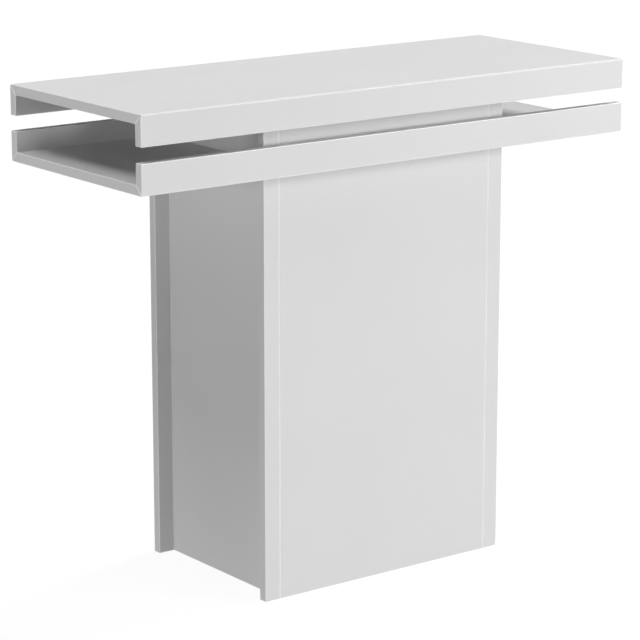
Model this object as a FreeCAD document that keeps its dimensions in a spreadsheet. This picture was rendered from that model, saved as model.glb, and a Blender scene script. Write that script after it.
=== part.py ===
import FreeCAD, Part
import os
import re
import Sketcher
from FreeCAD import Rotation, Vector

# A console table on a hollow pedestal. Its top is a shallow channel turned down, and a second
# channel, the tray, stands open under it, with an open slot between their aprons. The pedestal
# runs up through the tray to the top. The origin is on the floor under the table's middle:
# +X along the length, +Y to the back, +Z up, in millimetres.

DIMENSIONS = {
    # the whole table
    "table_length": 900,
    "table_depth": 350,
    "table_height": 760,
    "board": 15,
    "apron_height": 46,
    "slot_gap": 23,
    "arris": 1,
    # the pedestal: its faces, and how far its sides stand in from their edges
    "pedestal_width": 450,
    "pedestal_depth": 300,
    "side_recess": 27,
    # the rails inside the pedestal
    "rail_height": 60,
    "base_rail_level": 20,
    "middle_rail_level": 560,
    # dowels, and how deep one goes into a board's face
    "dowel_diameter": 8,
    "dowel_length": 30,
    "dowel_in_face": 10,
    "dowel_bevel": 1,
    "plate_dowel_offset": 80,
    "rail_dowel_pitch": 32,
    # the rows of dowels up the pedestal's corners: the stiles' row starts at the first level,
    # and the side panels' row stands higher by the lift, so that the two rows miss each other
    "first_dowel_level": 60,
    "corner_dowel_lift": 40,
    "corner_dowel_pitch": 146,
    # biscuits in the mitres
    "biscuit_length": 47,
    "biscuit_width": 15,
    "biscuit_thickness": 4,
    "biscuit_pitch": 190,
    "biscuit_inset": 5,
    # countersunk screws with a cross recess
    "screw_diameter": 4,
    "screw_head": 8,
    "screw_head_depth": 2.5,
    "screw_point": 5,
    "recess_length": 4,
    "recess_width": 0.8,
    "recess_depth": 1.5,
    "top_screw_length": 25,
    "top_screw_spread": 130,
    "tray_screw_length": 40,
    "screw_offset": 90,
    # room round a fastener in its hole, and past its end
    "glue_film": 0.1,
    "glue_pocket": 1,
}

# Levels and distances that several pieces share, as formulas of the sheet's names.
TOP_UNDERSIDE = "(table_height - board)"
TOP_APRON_BOTTOM = "(table_height - apron_height)"
TRAY_APRON_TOP = "(table_height - apron_height - slot_gap)"
TRAY_BOTTOM = "(table_height - 2 * apron_height - slot_gap)"
TRAY_FLOOR = "(table_height - 2 * apron_height - slot_gap + board)"
APRON_INSIDE = "(table_depth / 2 - board)"
SIDE_OUTSIDE = "(pedestal_width / 2 - side_recess)"
SIDE_INSIDE = "(pedestal_width / 2 - side_recess - board)"
FACE_INSIDE = "(pedestal_depth / 2 - board)"

# A butt joint's dowel goes shallow into a board's face and deep into the other board's edge, so
# its middle is this far from the joint, on the deep side.
DOWEL_SHIFT = "(dowel_length / 2 - dowel_in_face)"

LEFT_RIGHT = (("left", "-1"), ("right", "1"))
FRONT_BACK = (("front", "-1"), ("back", "1"))
BOTH_SIGNS = ("-1", "1")
DOWELS_UP_A_CORNER = 5
BISCUITS_EACH_SIDE = 2
MITRE_ANGLE = 45
NO_TURN = Rotation()
ALONG_X = Rotation(Vector(0, 0, 1), Vector(1, 0, 0))
AGAINST_X = Rotation(Vector(0, 0, 1), Vector(-1, 0, 0))
ALONG_Y = Rotation(Vector(0, 0, 1), Vector(0, 1, 0))

doc = FreeCAD.newDocument("ConsoleTable")
sub_parts = []


# ---------------------------------------------------------------- the sheet and its formulas

def make_sheet():
    """The spreadsheet of driving dimensions, one named cell each."""
    sheet = doc.addObject("Spreadsheet::Sheet", "Dimensions")
    for row, (name, size) in enumerate(DIMENSIONS.items(), start=1):
        sheet.set("A%d" % row, name)
        sheet.set("B%d" % row, str(size))
        sheet.setAlias("B%d" % row, name)
    doc.recompute()


def formula(text):
    """The same formula with each name pointing at its cell in the sheet."""
    return re.sub(r"[a-z_]+", lambda name: "Dimensions." + name.group(), text)


def negated(text):
    """The formula of one term with its sign changed."""
    return text[1:] if text.startswith("-") else "-" + text


def bind(item, **formulas):
    """Bind an object's properties to formulas."""
    for name, text in formulas.items():
        item.setExpression(name, formula(text))


def place(item, position, turn=NO_TURN):
    """Turn an object and bind its position to three formulas."""
    item.Placement.Rotation = turn
    for axis, text in zip("xyz", position):
        item.setExpression("Placement.Base." + axis, formula(text))


def in_order(sign, inner, outer):
    """A board's two faces on one side of the middle, the lower coordinate first."""
    faces = ("%s * %s" % (sign, inner), "%s * %s" % (sign, outer))
    return faces if sign == "1" else faces[::-1]


def finish(item, label):
    """Name a finished sub-part and keep it for export."""
    item.Label = label
    sub_parts.append(item)
    return item


# ---------------------------------------------------------------- solids from sketches

def sketch_outline(body, plane, corners, level="0"):
    """A closed outline on one of the body's planes, with every corner bound to two formulas."""
    sketch = body.newObject("Sketcher::SketchObject", body.Name + "_outline")
    support = next(item for item in body.Origin.OriginFeatures if item.Role == plane)
    sketch.AttachmentSupport = [(support, "")]
    sketch.MapMode = "FlatFace"
    sketch.setExpression("AttachmentOffset.Base.z", formula(level))
    # The corners start on a circle, and the constraints then carry each to its place.
    count = len(corners)
    step_turn = 360 / count
    ring = [Rotation(Vector(0, 0, 1), step_turn * step).multVec(Vector(1, 0, 0)) for step in range(count)]
    for step in range(count):
        sketch.addGeometry(Part.LineSegment(ring[step], ring[(step + 1) % count]))
    for step, corner in enumerate(corners):
        sketch.addConstraint(Sketcher.Constraint("Coincident", step, 2, (step + 1) % count, 1))
        for kind, text in zip(("DistanceX", "DistanceY"), corner):
            index = sketch.addConstraint(Sketcher.Constraint(kind, -1, 1, step, 1, 1.0))
            sketch.setExpression("Constraints[%d]" % index, formula(text))
    return sketch


def padded(name, plane, corners, length, level="0", midplane=False):
    """A body made by padding one outline."""
    body = doc.addObject("PartDesign::Body", name)
    pad = body.newObject("PartDesign::Pad", name + "_pad")
    pad.Profile = sketch_outline(body, plane, corners, level)
    pad.Midplane = midplane
    bind(pad, Length=length)
    doc.recompute()
    return body


def rectangle(across, up):
    """The corners of a rectangle between two lines each way."""
    return [(across[0], up[0]), (across[1], up[0]), (across[1], up[1]), (across[0], up[1])]


def upright_board(name, across, through, up):
    """A square-edged board between its two planes along X, along Y and along Z."""
    bottom, top = up
    return padded(name, "XY_Plane", rectangle(across, through), "%s - %s" % (top, bottom), bottom)


def turned(name, profile):
    """A body turned about its own Z from corners of (radius, height)."""
    body = doc.addObject("PartDesign::Body", name)
    turn = body.newObject("PartDesign::Revolution", name + "_turn")
    turn.Profile = sketch_outline(body, "XZ_Plane", profile)
    turn.ReferenceAxis = (turn.Profile[0], ["V_Axis"])
    turn.Angle = 360
    doc.recompute()
    return body


def cut_pocket(body, corners, depth, midplane=False):
    """Cut an outline on the body's XY plane upwards into it, or both ways from the plane."""
    before = body.Shape.Volume
    pocket = body.newObject("PartDesign::Pocket", body.Name + "_pocket")
    pocket.Profile = sketch_outline(body, "XY_Plane", corners)
    pocket.Reversed = True
    pocket.Midplane = midplane
    bind(pocket, Length=depth)
    doc.recompute()
    if not body.Shape.Volume < before:
        raise RuntimeError("the pocket in %s cuts nothing" % body.Name)


def eased(body):
    """The same body with every one of its edges rounded, as a board is before it is lacquered."""
    tip = body.Tip
    rounding = body.newObject("PartDesign::Fillet", body.Name + "_arrises")
    rounding.Base = (tip, [])
    rounding.UseAllEdges = True
    bind(rounding, Radius="arris")
    doc.recompute()
    return body


# ---------------------------------------------------------------- fasteners and their holes

def lens(name, length, width, thickness):
    """The lens-shaped overlap of two discs, lying flat about the origin."""
    radius = "((%s) ^ 2 + (%s) ^ 2) / (4 * (%s))" % (length, width, width)
    discs = []
    for sign in BOTH_SIGNS:
        disc = doc.addObject("Part::Cylinder", name + "_disc")
        bind(disc, Radius=radius, Height=thickness)
        place(disc, ("0", "%s * (%s - (%s) / 2)" % (sign, radius, width), "-(%s) / 2" % thickness))
        discs.append(disc)
    overlap = doc.addObject("Part::Common", name)
    overlap.Base, overlap.Tool = discs
    return overlap


def make_dowel():
    """A dowel with bevelled ends about the origin, and the hole for it."""
    reach = "dowel_length / 2"
    rim = "dowel_diameter / 2"
    wall = rim + " + glue_film"
    end = reach + " + glue_pocket"
    upper_end = [(rim, reach + " - dowel_bevel"), (rim + " - dowel_bevel", reach), ("0", reach)]
    lower_end = [(radius, "-(%s)" % height) for radius, height in reversed(upper_end)]
    dowel = turned("dowel", lower_end + upper_end)
    hole = turned("dowel_hole", [("0", "-(%s)" % end), (wall, "-(%s)" % end), (wall, end), ("0", end)])
    return dowel, hole


def make_biscuit():
    """A flat biscuit about the origin, and the slot for it."""
    biscuit = lens("biscuit", "biscuit_length", "biscuit_width", "biscuit_thickness")
    slot = lens("biscuit_slot", "biscuit_length + 2 * glue_pocket", "biscuit_width + glue_pocket",
                "biscuit_thickness + 2 * glue_film")
    return biscuit, slot


def make_screw(name, length):
    """A countersunk screw with its head at the origin and its point along Z, and its hole."""
    head = "screw_head / 2"
    shank = "screw_diameter / 2"
    point = length + " - screw_point"
    screw = turned(name, [("0", "0"), (head, "0"), (shank, "screw_head_depth"),
                          (shank, point), ("0", length)])
    arm = "recess_length / 2"
    web = "recess_width / 2"
    for along, across in ((arm, web), (web, arm)):
        slot = rectangle((negated(along), along), (negated(across), across))
        cut_pocket(screw, slot, "recess_depth")
    film = " + glue_film"
    hole = turned(name + "_hole", [("0", "0"), (head + film, "0"), (shank + film, "screw_head_depth"),
                                   (shank + film, point), ("0", length + " + glue_pocket")])
    return screw, hole


def fasten(label, fastener, positions, turn):
    """Put one fastener at each position as one sub-part, and return the holes for them."""
    groups = []
    for suffix, original in zip(("", "_holes"), fastener):
        copies = []
        for position in positions:
            copy = doc.addObject("App::Link", label + suffix + "_copy")
            copy.LinkedObject = original
            place(copy, position, turn)
            copies.append(copy)
        compound = doc.addObject("Part::Compound", label + suffix)
        compound.Links = copies
        groups.append(compound)
    fasteners, holes = groups
    finish(fasteners, label)
    return holes


def drill(board, holes, label):
    """Cut fastener holes from a board, which makes the finished sub-part."""
    tool = doc.addObject("Part::Compound", label + "_tools")
    tool.Links = holes
    drilled = doc.addObject("Part::Cut", label)
    drilled.Base = board
    drilled.Tool = tool
    return finish(drilled, label)


# ---------------------------------------------------------------- the top and the tray

def fasten_mitre(prefix, side, inner, rise):
    """Biscuits along one mitre, between a channel's inner corner and its arris. Returns their slots.

    `side` is the name and the sign of Y there, and `rise` the sign of Z from corner to arris.
    """
    name, sign = side
    steps = range(-BISCUITS_EACH_SIDE, BISCUITS_EACH_SIDE + 1)
    depth = "%s * (%s + biscuit_inset)" % (sign, APRON_INSIDE)
    level = "%s + (%s) * biscuit_inset" % (inner, rise)
    tilt = Rotation(Vector(1, 0, 0), -MITRE_ANGLE * int(sign) * int(rise))
    positions = [("(%d) * biscuit_pitch" % step, depth, level) for step in steps]
    return fasten("%s_%s_biscuits" % (prefix, name), biscuit, positions, tilt)


def make_channel(prefix, board_label, levels, rise, opening, more_holes):
    """A board and two aprons mitred to it, which make a channel along X.

    `levels` are the board's outer and inner faces and the aprons' free edges, `rise` is the sign of Z
    from the board's inner face to its outer face, and `opening` is an outline cut from the board.
    """
    outer, inner, edge = levels
    outside = "table_depth / 2"
    board = padded(board_label + "_blank", "YZ_Plane", [
        (negated(outside), outer),
        (outside, outer),
        (APRON_INSIDE, inner),
        (negated(APRON_INSIDE), inner),
    ], "table_length", midplane=True)
    if opening:
        cut_pocket(board, opening, "2 * table_height", midplane=True)
    slots = []
    for side in FRONT_BACK:
        name, sign = side
        label = "%s_%s_apron" % (prefix, name)
        apron = padded(label + "_blank", "YZ_Plane", [
            ("%s * %s" % (sign, outside), outer),
            ("%s * %s" % (sign, outside), edge),
            ("%s * %s" % (sign, APRON_INSIDE), edge),
            ("%s * %s" % (sign, APRON_INSIDE), inner),
        ], "table_length", midplane=True)
        holes = fasten_mitre(prefix, side, inner, rise)
        drill(eased(apron), [holes], label)
        slots.append(holes)
    drill(eased(board), slots + more_holes, board_label)


def make_top():
    """The top, turned down."""
    levels = ("table_height", TOP_UNDERSIDE, TOP_APRON_BOTTOM)
    make_channel("top", "top_board", levels, "1", None, [top_screw_holes])


def make_tray():
    """The tray, turned up, with its floor cut out round the pedestal."""
    levels = (TRAY_BOTTOM, TRAY_FLOOR, TRAY_APRON_TOP)
    side = "pedestal_width / 2"
    face = "pedestal_depth / 2"
    back_right = [(SIDE_OUTSIDE, FACE_INSIDE), (side, FACE_INSIDE), (side, face)]
    right = [(across, negated(depth)) for across, depth in reversed(back_right)] + back_right
    left = [(negated(across), negated(depth)) for across, depth in right]
    make_channel("tray", "tray_floor", levels, "-1", right + left, tray_screw_holes)


# ---------------------------------------------------------------- the pedestal's fasteners

def make_top_screws():
    """Screws from inside the pedestal, up through its top plate into the top."""
    screw = make_screw("top_screw", "top_screw_length")
    positions = [("(%s) * top_screw_spread" % along, "(%s) * screw_offset" % across,
                  "table_height - 2 * board") for along in ("-1", "0", "1") for across in BOTH_SIGNS]
    return fasten("top_fixing_screws", screw, positions, NO_TURN)


def make_tray_screws():
    """Screws from inside the pedestal, out through each side into the tray floor's edge."""
    screw = make_screw("tray_screw", "tray_screw_length")
    holes = []
    for (name, side), turn in zip(LEFT_RIGHT, (AGAINST_X, ALONG_X)):
        positions = [("%s * %s" % (side, SIDE_INSIDE), "(%s) * screw_offset" % across,
                      "%s + board / 2" % TRAY_BOTTOM) for across in ("-1", "0", "1")]
        holes.append(fasten(name + "_tray_screws", screw, positions, turn))
    return holes


def make_plate_dowels():
    """The dowels that hold the top plate's edges to the side panels and to the face panels."""
    level = "%s - board / 2" % TOP_UNDERSIDE
    side_positions = []
    face_positions = []
    for sign in BOTH_SIGNS:
        for step in BOTH_SIGNS:
            offset = "%s * plate_dowel_offset" % step
            side_positions.append(("%s * (%s - %s)" % (sign, SIDE_INSIDE, DOWEL_SHIFT), offset, level))
            face_positions.append((offset, "%s * (%s - %s)" % (sign, FACE_INSIDE, DOWEL_SHIFT), level))
    return (fasten("top_plate_side_dowels", dowel, side_positions, ALONG_X),
            fasten("top_plate_face_dowels", dowel, face_positions, ALONG_Y))


def make_corner_dowels():
    """Each corner's two rows: from the face panel's edge into its stile, and into the side panel."""
    stile_row = {}
    side_row = {}
    steps = range(DOWELS_UP_A_CORNER)
    for face, front_or_back in FRONT_BACK:
        for name, side in LEFT_RIGHT:
            corner = "%s_%s" % (face, name)
            seam = "%s * %s" % (side, SIDE_OUTSIDE)
            face_middle = "%s * (%s + board / 2)" % (front_or_back, FACE_INSIDE)
            side_middle = "%s * (%s + board / 2)" % (side, SIDE_INSIDE)
            joint = "%s * (%s - %s)" % (front_or_back, FACE_INSIDE, DOWEL_SHIFT)
            levels = ["first_dowel_level + %d * corner_dowel_pitch" % step for step in steps]
            stile_row[corner] = fasten(corner + "_stile_dowels", dowel,
                                       [(seam, face_middle, level) for level in levels], ALONG_X)
            side_row[corner] = fasten(corner + "_corner_dowels", dowel,
                                      [(side_middle, joint, level + " + corner_dowel_lift")
                                       for level in levels], ALONG_Y)
    return stile_row, side_row


# ---------------------------------------------------------------- the pedestal's boards

def make_top_plate():
    """The plate inside the pedestal's head, which the top is screwed to."""
    plate = upright_board("top_plate_blank", (negated(SIDE_INSIDE), SIDE_INSIDE),
                          (negated(FACE_INSIDE), FACE_INSIDE), ("(table_height - 2 * board)", TOP_UNDERSIDE))
    drill(plate, [*plate_dowel_holes, top_screw_holes], "pedestal_top_plate")


def make_rails():
    """Two pairs of rails that keep the hollow pedestal square. Returns their dowels' holes."""
    all_holes = []
    for height in ("base", "middle"):
        bottom = height + "_rail_level"
        for name, front_or_back in FRONT_BACK:
            label = "%s_%s_rail" % (height, name)
            depth = "%s * (%s - board / 2)" % (front_or_back, FACE_INSIDE)
            positions = [("%s * (%s - %s)" % (side, SIDE_INSIDE, DOWEL_SHIFT), depth,
                          "%s + rail_height / 2 + (%s) * rail_dowel_pitch / 2" % (bottom, step))
                         for side in BOTH_SIGNS for step in BOTH_SIGNS]
            holes = fasten(label + "_dowels", dowel, positions, ALONG_X)
            rail = upright_board(label + "_blank", (negated(SIDE_INSIDE), SIDE_INSIDE),
                                 in_order(front_or_back, "(%s - board)" % FACE_INSIDE, FACE_INSIDE),
                                 (bottom, "(%s + rail_height)" % bottom))
            drill(rail, [holes], label)
            all_holes.append(holes)
    return all_holes


def make_faces():
    """The front and back faces: a centre panel between two narrow stiles, flush with it."""
    up = ("0", TOP_UNDERSIDE)
    for face, front_or_back in FRONT_BACK:
        through = in_order(front_or_back, FACE_INSIDE, "pedestal_depth / 2")
        panel = upright_board(face + "_panel_blank", (negated(SIDE_OUTSIDE), SIDE_OUTSIDE), through, up)
        corners = {"%s_%s" % (face, name): side for name, side in LEFT_RIGHT}
        holes = [row[corner] for row in (stile_dowel_holes, side_dowel_holes) for corner in corners]
        drill(eased(panel), holes + [plate_dowel_holes[1]], "pedestal_%s_panel" % face)
        for corner, side in corners.items():
            across = in_order(side, SIDE_OUTSIDE, "pedestal_width / 2")
            stile = upright_board(corner + "_stile_blank", across, through, up)
            drill(eased(stile), [stile_dowel_holes[corner]], corner + "_stile")


def make_sides():
    """The side panels, which stand in from the faces' edges."""
    for name, side in LEFT_RIGHT:
        panel = upright_board(name + "_side_blank", in_order(side, SIDE_INSIDE, SIDE_OUTSIDE),
                              (negated(FACE_INSIDE), FACE_INSIDE), ("0", TOP_UNDERSIDE))
        rows = [side_dowel_holes["%s_%s" % (face, name)] for face, _ in FRONT_BACK]
        holes = rows + rail_dowel_holes + tray_screw_holes + [plate_dowel_holes[0]]
        drill(eased(panel), holes, "pedestal_%s_side" % name)


# ---------------------------------------------------------------- the whole table

def export():
    """Check every object and every sub-part, then write one STEP file for each sub-part."""
    doc.recompute()
    failed = [item.Name for item in doc.Objects if {"Invalid", "Error"} & set(item.State)]
    if failed:
        raise RuntimeError("failed objects: " + ", ".join(failed))
    for item in sub_parts:
        if item.Shape.isNull() or not item.Shape.isValid() or not item.Shape.Solids:
            raise RuntimeError("bad shape: " + item.Label)
    os.makedirs("parts", exist_ok=True)
    for item in sub_parts:
        item.Shape.exportStep("parts/%s.step" % item.Label)


make_sheet()
dowel = make_dowel()
biscuit = make_biscuit()
top_screw_holes = make_top_screws()
tray_screw_holes = make_tray_screws()
plate_dowel_holes = make_plate_dowels()
stile_dowel_holes, side_dowel_holes = make_corner_dowels()
make_top()
make_tray()
make_top_plate()
rail_dowel_holes = make_rails()
make_faces()
make_sides()
export()
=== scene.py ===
import math

import bpy
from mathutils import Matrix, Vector


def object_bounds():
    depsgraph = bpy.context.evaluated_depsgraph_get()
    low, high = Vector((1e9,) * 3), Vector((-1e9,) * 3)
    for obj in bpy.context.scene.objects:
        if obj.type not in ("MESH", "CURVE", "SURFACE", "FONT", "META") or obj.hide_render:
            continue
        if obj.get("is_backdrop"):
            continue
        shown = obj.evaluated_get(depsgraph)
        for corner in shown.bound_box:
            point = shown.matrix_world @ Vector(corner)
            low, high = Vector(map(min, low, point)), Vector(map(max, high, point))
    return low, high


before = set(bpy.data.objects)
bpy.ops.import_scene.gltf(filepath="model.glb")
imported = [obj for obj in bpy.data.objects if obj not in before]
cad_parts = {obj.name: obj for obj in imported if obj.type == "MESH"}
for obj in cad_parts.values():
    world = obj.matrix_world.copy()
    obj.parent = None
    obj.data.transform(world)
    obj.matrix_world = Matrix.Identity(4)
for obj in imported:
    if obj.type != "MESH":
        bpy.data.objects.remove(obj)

# The looks of the console table: white satin lacquer on its boards, plain melamine on the boards
# hidden in its pedestal, bare beech dowels and biscuits, and zinc-plated screws. It stands on a
# plain white floor in soft studio light. Lengths are in metres and angles in degrees throughout.

low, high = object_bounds()
middle = (low + high) / 2

# Directions are seen from the table: azimuth 0 is its front (-Y), 90 its right (+X) and -90 its
# left. Elevation is the height above level.

# Camera. It looks at a point almost in the middle of the table. Lens and sensor are in millimetres.
LENS = 152.3
SENSOR = 36.0
CAMERA_AZIMUTH = -36.92
CAMERA_ELEVATION = 13.67
CAMERA_DISTANCE = 4.196
AIM_OFFSET = Vector((-0.0084, 0.0038, -0.0084))

# The room: its light from above and from the floor's side below, and the white that the camera
# sees behind the table. Where a direction's height is this close to level, on a scale that has
# straight up as 1, the light from above blends into the light from below.
LIGHT_ABOVE = 0.04
LIGHT_BELOW = 0.46
BACKDROP = 1.0
HORIZON_BLEND = 0.1

# Soft lamps, far away: azimuth and elevation, the width that the lamp seems to have, and the light
# that it brings to a surface square to it.
LAMPS = {
    "front_light": (20, 1, 8, 0.72),
    "wide_front_light": (38, 4, 22, 0.55),
    "high_front_light": (35, 30, 25, 0.74),
    "right_light": (95, 46, 25, 2.3),
    "left_light": (-86, 69, 24, 1.25),
    "low_left_light": (-74, 3, 12, 0.79),
    "back_light": (180, 1, 8, 1.35),
}

# Lamps up to this elevation aren't mirrored in the table, and nor is the softbox, because they
# would make a glare on its top.
GLARE_FROM = 10

# One softbox near the table, in front of it to the right, which makes its top and front a little
# lighter towards the right.
SOFTBOX_AZIMUTH = 45
SOFTBOX_ELEVATION = 20
SOFTBOX_DISTANCE = 2.4
SOFTBOX_SIZE = (1.4, 1.0)
SOFTBOX_POWER = 15.0

# Floor: half its side, and its finish. Most of its white is a glow, so that the table's shadow on
# it stays faint.
FLOOR_HALF = 30.0
FLOOR_TONE = 0.1
FLOOR_GLOW = 0.92
FLOOR_ROUGHNESS = 0.9

# In the finishes below, a tone is how much light the surface throws back. A pair of numbers is the
# least and the most that a noise makes of a tone or a roughness, and a bump has a strength and a
# depth. A noise's scale is how often it repeats in a metre, and its detail how finely it is broken
# up. Almost all of a noise's values lie in this range.
NOISE_RANGE = (0.3, 0.7)

# White lacquer: the tone of its faces, the share by which that varies, the lighter tone painted on
# its rounded edges as a highlight, its roughness and its gloss. Clouds vary the tone and haze varies
# the roughness.
# The peel is the fine ripple that spraying leaves.
LACQUER = 0.69
LACQUER_VARIATION = 0.01
LACQUER_EDGE_HIGHLIGHT = 0.95
LACQUER_ROUGHNESS = (0.50, 0.58)
LACQUER_GLOSS = 0.4
LACQUER_CLOUDS = {"scale": 6.0, "detail": 2.0}
LACQUER_HAZE = {"scale": 90.0, "detail": 3.0}
LACQUER_PEEL = {"scale": 500.0, "detail": 1.0}
LACQUER_BUMP = (0.25, 0.00005)

# Where a surface faces along an axis, the largest part of its normal is 1. On a rounded edge that
# part falls, and the lacquer is painted lighter, as a highlight, as it goes from the second number
# to the first.
EDGE_NORMAL = (0.96, 0.998)

# Painted shade on the table's top front edge, where its painted highlight is taken away. It
# reaches this far down from the top and sets in over the blend's height, on what faces the front:
# it fades out while the normal's Y goes from the first number to the second. It takes this share
# of an edge's painted highlight. As that is over 1, this edge is painted a little darker than the
# faces.
TOP_EDGE_SHADE_DEPTH = 0.003
TOP_EDGE_SHADE_BLEND = 0.0003
TOP_EDGE_SHADE_FACING = (-0.2, -0.05)
TOP_EDGE_SHADE_SHARE = 1.25

# Melamine on the hidden boards, with a fine tooth.
MELAMINE_TONE = (0.60, 0.64)
MELAMINE_ROUGHNESS = (0.5, 0.65)
MELAMINE_CLOUDS = {"scale": 12.0, "detail": 4.0}
MELAMINE_TOOTH = {"scale": 250.0, "detail": 2.0}
MELAMINE_BUMP = (0.4, 0.0001)

# Bare beech: the dark and light colours of its streaks, and how often they repeat in a metre along
# X, Y and Z, so that they lie level.
BEECH_DARK = (0.47, 0.28, 0.14, 1)
BEECH_LIGHT = (0.66, 0.45, 0.26, 1)
BEECH_GRAIN = (60.0, 60.0, 900.0)
BEECH_ROUGHNESS = (0.55, 0.7)
BEECH_STREAKS = {"scale": 1.0, "detail": 3.0}
BEECH_BUMP = (0.4, 0.0001)

# Zinc plating, mottled.
ZINC_TONE = (0.46, 0.56)
ZINC_ROUGHNESS = (0.28, 0.42)
ZINC_MOTTLE = {"scale": 700.0, "detail": 3.0}
ZINC_BUMP = (0.2, 0.00005)


def direction(azimuth, elevation):
    """Unit vector from the table towards an azimuth and elevation."""
    azimuth = math.radians(azimuth)
    elevation = math.radians(elevation)
    flat = math.cos(elevation)
    return Vector((flat * math.sin(azimuth), -flat * math.cos(azimuth), math.sin(elevation)))


def look(obj, towards):
    """Turns a camera or lamp so that it faces along a direction."""
    obj.rotation_euler = towards.to_track_quat("-Z", "Y").to_euler()


def put(name, data):
    """Puts a new object in the scene and returns it."""
    obj = bpy.data.objects.new(name, data)
    bpy.context.scene.collection.objects.link(obj)
    return obj


def add_camera():
    """The camera, which the scene then renders from."""
    data = bpy.data.cameras.new("camera")
    data.lens = LENS
    data.sensor_width = SENSOR
    camera = put("camera", data)
    towards = direction(CAMERA_AZIMUTH, CAMERA_ELEVATION)
    camera.location = middle + AIM_OFFSET + towards * CAMERA_DISTANCE
    look(camera, -towards)
    bpy.context.scene.camera = camera


def add_lamps():
    """The soft lamps that stand far from the table."""
    for name, (azimuth, elevation, width, energy) in LAMPS.items():
        data = bpy.data.lights.new(name, "SUN")
        data.energy = energy
        data.angle = math.radians(width)
        lamp = put(name, data)
        lamp.visible_glossy = elevation > GLARE_FROM
        look(lamp, -direction(azimuth, elevation))


def add_softbox():
    """The softbox that stands near the table, unseen by the camera."""
    data = bpy.data.lights.new("softbox", "AREA")
    data.shape = "RECTANGLE"
    data.size, data.size_y = SOFTBOX_SIZE
    data.energy = SOFTBOX_POWER
    softbox = put("softbox", data)
    towards = direction(SOFTBOX_AZIMUTH, SOFTBOX_ELEVATION)
    softbox.location = middle + towards * SOFTBOX_DISTANCE
    softbox.visible_camera = False
    softbox.visible_glossy = False
    look(softbox, -towards)


def add_room():
    """The room's light, and a plain pale backdrop where the camera looks at the room itself."""
    world = bpy.data.worlds.new("room")
    bpy.context.scene.world = world
    world.use_nodes = True
    nodes = world.node_tree.nodes
    links = world.node_tree.links
    nodes.clear()

    # The light's strength goes from one to the other where a direction passes level.
    coordinates = nodes.new("ShaderNodeTexCoord")
    split = nodes.new("ShaderNodeSeparateXYZ")
    links.new(coordinates.outputs["Generated"], split.inputs["Vector"])
    rise = nodes.new("ShaderNodeMapRange")
    rise.inputs["From Min"].default_value = -HORIZON_BLEND
    rise.inputs["From Max"].default_value = HORIZON_BLEND
    rise.inputs["To Min"].default_value = LIGHT_BELOW
    rise.inputs["To Max"].default_value = LIGHT_ABOVE
    links.new(split.outputs["Z"], rise.inputs["Value"])

    # What lights the table, and what the camera sees behind it.
    lit = nodes.new("ShaderNodeBackground")
    links.new(rise.outputs["Result"], lit.inputs["Strength"])
    seen = nodes.new("ShaderNodeBackground")
    seen.inputs["Strength"].default_value = BACKDROP
    for background in (lit, seen):
        background.inputs["Color"].default_value = (1, 1, 1, 1)
    path = nodes.new("ShaderNodeLightPath")
    mix = nodes.new("ShaderNodeMixShader")
    output = nodes.new("ShaderNodeOutputWorld")
    links.new(path.outputs["Is Camera Ray"], mix.inputs["Fac"])
    links.new(lit.outputs["Background"], mix.inputs[1])
    links.new(seen.outputs["Background"], mix.inputs[2])
    links.new(mix.outputs["Shader"], output.inputs["Surface"])


class Tree:
    """A material's node tree, with short ways to add and join nodes.

    Where a method returns something and doesn't say what, it is the output that the next node takes.
    """

    def __init__(self, name):
        self.material = bpy.data.materials.new(name)
        self.material.use_nodes = True
        self.nodes = self.material.node_tree.nodes
        self.links = self.material.node_tree.links
        self.shader = self.nodes["Principled BSDF"]

    def add(self, kind, settings=None, **values):
        """Adds a node, with its settings and the values of its inputs, and returns the node."""
        node = self.nodes.new(kind)
        for name, value in (settings or {}).items():
            setattr(node, name, value)
        for name, value in values.items():
            node.inputs[name].default_value = value
        return node

    def join(self, source, target):
        """Joins an output to an input."""
        self.links.new(source, target)

    def feed(self, source, name):
        """Joins an output to one of the shader's inputs."""
        self.join(source, self.shader.inputs[name])

    def fix(self, name, value):
        """Gives one of the shader's inputs the same value all over."""
        self.shader.inputs[name].default_value = value

    def place(self):
        """Where a point of the surface is, on the table."""
        return self.add("ShaderNodeTexCoord").outputs["Object"]

    def normal(self):
        """Which way the surface faces, on the table."""
        return self.add("ShaderNodeTexCoord").outputs["Normal"]

    def split(self, vector):
        """Returns a vector's three outputs, X, Y and Z."""
        node = self.add("ShaderNodeSeparateXYZ")
        self.join(vector, node.inputs["Vector"])
        return node.outputs

    def maths(self, operation, first, second):
        """Works on two values, each a number or an output."""
        node = self.add("ShaderNodeMath", {"operation": operation})
        for socket, value in zip(node.inputs, (first, second)):
            if isinstance(value, (int, float)):
                socket.default_value = value
            else:
                self.join(value, socket)
        return node.outputs["Value"]

    def noise(self, place, scale, detail):
        """A soft noise between 0 and 1."""
        node = self.add("ShaderNodeTexNoise", Scale=scale, Detail=detail)
        self.join(place, node.inputs["Vector"])
        return node.outputs["Fac"]

    def spread(self, value, given, wanted):
        """Takes a value from one pair of limits to another, and holds it between them."""
        node = self.add("ShaderNodeMapRange", {"clamp": True})
        self.join(value, node.inputs["Value"])
        node.inputs["From Min"].default_value = given[0]
        node.inputs["From Max"].default_value = given[1]
        node.inputs["To Min"].default_value = wanted[0]
        node.inputs["To Max"].default_value = wanted[1]
        return node.outputs["Result"]

    def grey(self, value):
        """A grey with the same value in red, green and blue."""
        node = self.add("ShaderNodeCombineColor")
        for socket in node.inputs:
            self.join(value, socket)
        return node.outputs["Color"]

    def bump(self, height, strength, distance):
        """Makes the surface look uneven. An output gives the height."""
        node = self.add("ShaderNodeBump", Strength=strength, Distance=distance)
        self.join(height, node.inputs["Height"])
        self.feed(node.outputs["Normal"], "Normal")


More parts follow.
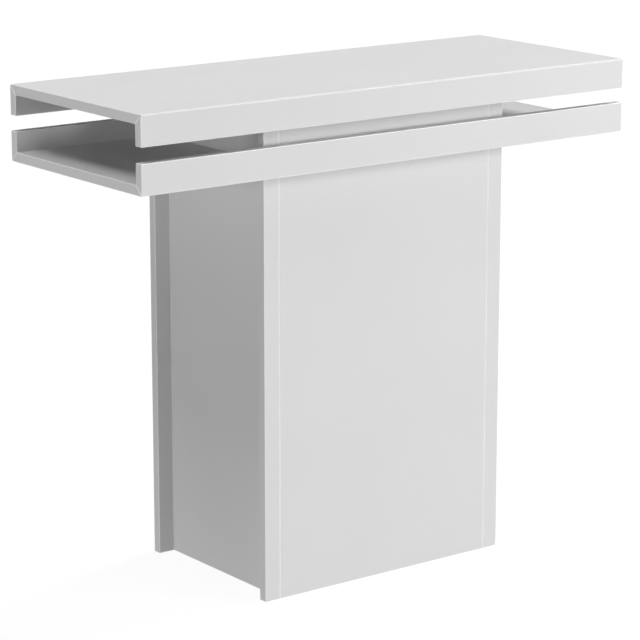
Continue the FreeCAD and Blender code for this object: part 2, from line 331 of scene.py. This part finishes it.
def edge_of(tree):
    """0 on flat faces along the axes and 1 in the middle of a rounded edge."""
    size = tree.add("ShaderNodeVectorMath", {"operation": "ABSOLUTE"})
    tree.join(tree.normal(), size.inputs[0])
    parts = tree.split(size.outputs["Vector"])
    largest = tree.maths("MAXIMUM", parts["X"], parts["Y"])
    largest = tree.maths("MAXIMUM", largest, parts["Z"])
    return tree.spread(largest, EDGE_NORMAL, (1.0, 0.0))


def top_edge_shade_of(tree, place):
    """1 on the rounded edge along the table's top at the front, which is painted darker as shade,
    else 0.
    """
    start = high.z - TOP_EDGE_SHADE_DEPTH
    upper = tree.spread(tree.split(place)["Z"], (start, start + TOP_EDGE_SHADE_BLEND), (0.0, 1.0))
    front = tree.spread(tree.split(tree.normal())["Y"], TOP_EDGE_SHADE_FACING, (1.0, 0.0))
    return tree.maths("MULTIPLY", upper, front)


def white_board():
    """White satin lacquer, with a painted highlight on its rounded edges and painted shade on the
    top's front edge.
    """
    tree = Tree("white_board_lacquer")
    place = tree.place()
    tones = (LACQUER * (1 - LACQUER_VARIATION), LACQUER * (1 + LACQUER_VARIATION))
    face = tree.spread(tree.noise(place, **LACQUER_CLOUDS), NOISE_RANGE, tones)
    # Painted shade: along the top's front edge the painted highlight is taken away, and a little
    # more.
    taken = tree.maths("MULTIPLY", top_edge_shade_of(tree, place), TOP_EDGE_SHADE_SHARE)
    edge = tree.maths("MULTIPLY", edge_of(tree), tree.maths("SUBTRACT", 1.0, taken))
    # Painted highlight: the rounded edges are given a lighter tone than the faces.
    lift = tree.maths("MULTIPLY", edge, LACQUER_EDGE_HIGHLIGHT - LACQUER)
    tree.feed(tree.grey(tree.maths("ADD", face, lift)), "Base Color")
    tree.fix("Specular IOR Level", LACQUER_GLOSS)
    haze = tree.noise(place, **LACQUER_HAZE)
    tree.feed(tree.spread(haze, NOISE_RANGE, LACQUER_ROUGHNESS), "Roughness")
    tree.bump(tree.noise(place, **LACQUER_PEEL), *LACQUER_BUMP)
    return tree.material


def inner_board():
    """Plain melamine."""
    tree = Tree("inner_board_melamine")
    place = tree.place()
    clouds = tree.noise(place, **MELAMINE_CLOUDS)
    tree.feed(tree.grey(tree.spread(clouds, NOISE_RANGE, MELAMINE_TONE)), "Base Color")
    tooth = tree.noise(place, **MELAMINE_TOOTH)
    tree.feed(tree.spread(tooth, NOISE_RANGE, MELAMINE_ROUGHNESS), "Roughness")
    tree.bump(tooth, *MELAMINE_BUMP)
    return tree.material


def beech():
    """Bare beech with a streaked grain."""
    tree = Tree("beech_wood")
    grain = tree.add("ShaderNodeMapping", Scale=BEECH_GRAIN)
    tree.join(tree.place(), grain.inputs["Vector"])
    streaks = tree.noise(grain.outputs["Vector"], **BEECH_STREAKS)
    ramp = tree.add("ShaderNodeValToRGB")
    for stop, position, colour in zip(
        ramp.color_ramp.elements, NOISE_RANGE, (BEECH_DARK, BEECH_LIGHT)
    ):
        stop.position = position
        stop.color = colour
    tree.join(streaks, ramp.inputs["Fac"])
    tree.feed(ramp.outputs["Color"], "Base Color")
    tree.feed(tree.spread(streaks, (0.0, 1.0), BEECH_ROUGHNESS), "Roughness")
    tree.bump(streaks, *BEECH_BUMP)
    return tree.material


def zinc_steel():
    """Zinc-plated steel."""
    tree = Tree("zinc_plated_steel")
    tree.fix("Metallic", 1.0)
    mottle = tree.noise(tree.place(), **ZINC_MOTTLE)
    tree.feed(tree.grey(tree.spread(mottle, NOISE_RANGE, ZINC_TONE)), "Base Color")
    tree.feed(tree.spread(mottle, NOISE_RANGE, ZINC_ROUGHNESS), "Roughness")
    tree.bump(mottle, *ZINC_BUMP)
    return tree.material


def floor_white():
    """The floor's white, which glows."""
    tree = Tree("floor_white")
    tree.fix("Base Color", (FLOOR_TONE, FLOOR_TONE, FLOOR_TONE, 1))
    tree.fix("Roughness", FLOOR_ROUGHNESS)
    tree.fix("Specular IOR Level", 0.0)
    tree.fix("Emission Color", (1, 1, 1, 1))
    tree.fix("Emission Strength", FLOOR_GLOW)
    return tree.material


def add_floor():
    """A wide floor, which the camera sees and which takes the table's shadow.

    It neither lights the table nor keeps light from it, because the room's lower light does that.
    """
    half = FLOOR_HALF
    corners = [(-half, -half, 0), (half, -half, 0), (half, half, 0), (-half, half, 0)]
    mesh = bpy.data.meshes.new("floor")
    mesh.from_pydata(corners, [], [(0, 1, 2, 3)])
    mesh.materials.append(floor_white())
    floor = put("floor", mesh)
    floor.visible_diffuse = False
    floor.visible_glossy = False
    floor.visible_shadow = False
    floor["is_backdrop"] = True


# Greys come out as the lamps and finishes make them, without a film's curve.
bpy.context.scene.view_settings.view_transform = "Standard"
add_camera()
add_lamps()
add_softbox()
add_room()
add_floor()

# Each CAD node keeps its mesh, and gets one of these in place of its slot's plain material.
finishes = {
    "white_board": white_board(),
    "inner_board": inner_board(),
    "beech": beech(),
    "zinc_steel": zinc_steel(),
}
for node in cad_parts.values():
    for slot in node.material_slots:
        slot.material = finishes[slot.material.name]

low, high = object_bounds()
